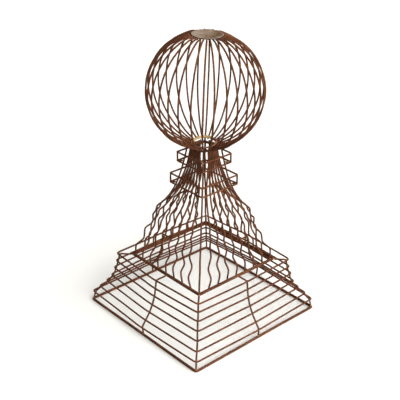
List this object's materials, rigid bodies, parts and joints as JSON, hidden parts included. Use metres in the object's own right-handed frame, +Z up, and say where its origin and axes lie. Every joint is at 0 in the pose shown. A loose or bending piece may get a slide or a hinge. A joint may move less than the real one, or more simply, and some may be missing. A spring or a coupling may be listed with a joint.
{
  "type": "wire finial",
  "caption": "Rusted wire finial: an openwork globe on a waisted, stepped square shaft with two collars, standing on a swept square base of wire hoops.",
  "frame": {"origin": "on the ground at the middle of the base", "axes": "+Z is up along the shaft; the sides of the square base run along X and Y"},
  "size_m": [0.5784, 0.5884, 1.0032],
  "materials": {
    "rusted_wire": "rusted mild steel wire, matt red-brown",
    "brazed_ring": "steel ring coated with dull golden braze and rust",
    "top_plate": "weathered grey-brown sheet steel"
  },
  "bodies": {
    "root": {"base_rod": "rusted_wire", "base_hoop_1": "rusted_wire", "base_hoop_2": "rusted_wire", "base_hoop_3": "rusted_wire", "base_hoop_4": "rusted_wire", "base_hoop_5": "rusted_wire", "base_hoop_6": "rusted_wire", "base_hoop_7": "rusted_wire", "corner_rib_1": "rusted_wire", "side_rib_1": "rusted_wire", "corner_rib_2": "rusted_wire", "side_rib_2": "rusted_wire", "corner_rib_3": "rusted_wire", "side_rib_3": "rusted_wire", "corner_rib_4": "rusted_wire", "side_rib_4": "rusted_wire", "foot_ring": "rusted_wire", "seat_ring": "rusted_wire", "shelf_ring": "rusted_wire", "corner_wire_01": "rusted_wire", "globe_wire_01": "rusted_wire", "cage_wire_02": "rusted_wire", "cage_wire_03": "rusted_wire", "cage_wire_04": "rusted_wire", "cage_wire_05": "rusted_wire", "cage_wire_06": "rusted_wire", "cage_wire_07": "rusted_wire", "cage_wire_08": "rusted_wire", "corner_wire_09": "rusted_wire", "globe_wire_09": "rusted_wire", "cage_wire_10": "rusted_wire", "cage_wire_11": "rusted_wire", "cage_wire_12": "rusted_wire", "cage_wire_13": "rusted_wire", "cage_wire_14": "rusted_wire", "cage_wire_15": "rusted_wire", "cage_wire_16": "rusted_wire", "corner_wire_17": "rusted_wire", "globe_wire_17": "rusted_wire", "cage_wire_18": "rusted_wire", "cage_wire_19": "rusted_wire", "cage_wire_20": "rusted_wire", "cage_wire_21": "rusted_wire", "cage_wire_22": "rusted_wire", "cage_wire_23": "rusted_wire", "cage_wire_24": "rusted_wire", "corner_wire_25": "rusted_wire", "globe_wire_25": "rusted_wire", "cage_wire_26": "rusted_wire", "cage_wire_27": "rusted_wire", "cage_wire_28": "rusted_wire", "cage_wire_29": "rusted_wire", "cage_wire_30": "rusted_wire", "cage_wire_31": "rusted_wire", "cage_wire_32": "rusted_wire", "lower_collar": "rusted_wire", "upper_collar": "rusted_wire", "neck_ring": "rusted_wire", "globe_ring": "brazed_ring", "top_disc": "top_plate"}
  },
  "joints": []
}
